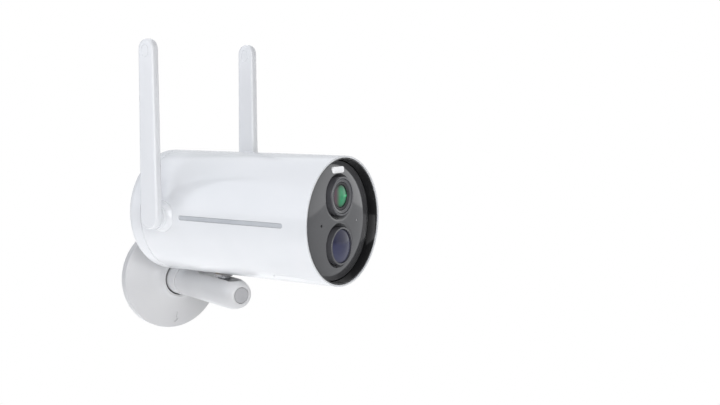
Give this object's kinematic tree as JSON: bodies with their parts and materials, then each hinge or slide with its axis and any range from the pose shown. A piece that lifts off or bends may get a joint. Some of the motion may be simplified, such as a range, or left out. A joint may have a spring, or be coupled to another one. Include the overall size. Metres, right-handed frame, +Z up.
{
  "type": "security camera",
  "caption": "Outdoor battery security camera: cylindrical head with two fold-down antennas on a ball stud and tubular swivel arm from a round wall plate.",
  "frame": {"origin": "centre of the wall plate's back face, on the wall", "axes": "+Y into the wall (the arm points along -Y), +Z up; at rest the camera head looks 20 degrees from -Y towards +X"},
  "size_m": [0.1042, 0.1499, 0.1651],
  "materials": {
    "white_plastic": "glossy white moulded ABS",
    "strip_grey": "satin light grey",
    "black_gloss": "gloss black",
    "panel_grey": "gloss dark grey acrylic",
    "dark_trim": "satin dark grey",
    "lens_glass": "green coated glass",
    "pir_lens": "translucent dark blue-violet polyethylene",
    "diffuser": "opal white",
    "dark_rubber": "matte",
    "plug_grey": "satin mid grey",
    "circuit_board": "solder resist green",
    "black_plastic": "matte black",
    "battery_cell": "shrink-wrapped cell",
    "inner_plastic": "moulded grey",
    "steel": "bright zinc plated",
    "brass_insert": "turned",
    "antenna_element": "copper coloured strip"
  },
  "bodies": {
    "wall": {"wall_plate": "white_plastic", "collar_seal": "dark_rubber", "neck_retainer": "inner_plastic", "back_plate": "inner_plastic", "wall_screw_left": "steel", "wall_screw_right": "steel"},
    "arm": {"arm_tube": "white_plastic", "arm_neck": "white_plastic", "arm_end_plug": "plug_grey", "clamp_screw": "steel", "clamp_cup": "black_plastic"},
    "stud": {"ball_stud": "steel"},
    "nut": {"lock_nut": "plug_grey"},
    "antenna_left": {"antenna_outer_left": "white_plastic", "antenna_inner_left": "white_plastic", "antenna_element_left": "antenna_element"},
    "antenna_right": {"antenna_outer_right": "white_plastic", "antenna_inner_right": "white_plastic", "antenna_element_right": "antenna_element"},
    "hatch": {"port_cover": "white_plastic"},
    "reset": {"reset_button": "dark_rubber"},
    "switch": {"power_switch": "black_plastic"},
    "head": {"housing_shell": "white_plastic", "rear_cover": "white_plastic", "antenna_base_left": "white_plastic", "antenna_base_right": "white_plastic", "side_strip_left": "strip_grey", "side_strip_right": "strip_grey", "hood_liner": "black_gloss", "front_panel": "panel_grey", "lens_bezel": "dark_trim", "lens_shade": "dark_trim", "pir_ring": "dark_trim", "front_lens": "lens_glass", "pir_lens": "pir_lens", "spotlight_window": "diffuser", "spotlight_led": "diffuser", "light_pipe": "diffuser", "rear_seal": "dark_rubber", "front_gasket": "dark_rubber", "sensor_board": "circuit_board", "front_board": "circuit_board", "main_board": "circuit_board", "port_board": "circuit_board", "lens_barrel": "black_plastic", "lens_holder": "black_plastic", "image_sensor": "black_plastic", "speaker": "black_plastic", "battery_cell_left": "battery_cell", "battery_cell_right": "battery_cell", "front_bulkhead": "inner_plastic", "battery_cradle": "inner_plastic", "port_cup": "inner_plastic", "pir_sensor": "steel", "microphone": "steel", "processor_shield": "steel", "usb_connector": "steel", "card_slot": "steel", "mount_insert": "brass_insert"}
  },
  "joints": [
    {"name": "arm_spin", "type": "hinge", "parent": "wall", "child": "arm", "pos_m": [0, -0.0645, 0], "axis": [0, -1, 0], "range_deg": [-180, 180]},
    {"name": "stud_tilt", "type": "hinge", "parent": "arm", "child": "stud", "pos_m": [0, -0.0645, 0], "axis": [1, 0, 0], "range_deg": [-3, 8]},
    {"name": "head_pan", "type": "hinge", "parent": "stud", "child": "head", "pos_m": [0, -0.0645, 0.01], "axis": [0, 0, 1], "range_deg": [-110, 70]},
    {"name": "lock_nut_spin", "type": "hinge", "parent": "stud", "child": "nut", "pos_m": [0, -0.0645, 0.009], "axis": [0, 0, 1], "continuous": true},
    {"name": "antenna_left_fold", "type": "hinge", "parent": "head", "child": "antenna_left", "pos_m": [0.02803, -0.03919, 0.043], "axis": [0.9397, 0.342, 0], "range_deg": [-20, 90]},
    {"name": "antenna_right_fold", "type": "hinge", "parent": "head", "child": "antenna_right", "pos_m": [-0.03775, -0.06313, 0.043], "axis": [0.9397, 0.342, 0], "range_deg": [-20, 90]},
    {"name": "hatch_hinge", "type": "hinge", "parent": "head", "child": "hatch", "pos_m": [0.01621, -0.10904, 0.0108], "axis": [0.9397, 0.342, 0], "range_deg": [0, 80]},
    {"name": "reset_press", "type": "slide", "parent": "head", "child": "reset", "axis": [0, 0, 1], "range_m": [0, 0.0005], "stiffness_N_per_m": 300},
    {"name": "power_slide", "type": "slide", "parent": "head", "child": "switch", "axis": [0.9397, 0.342, 0], "range_m": [0, 0.0024]}
  ]
}
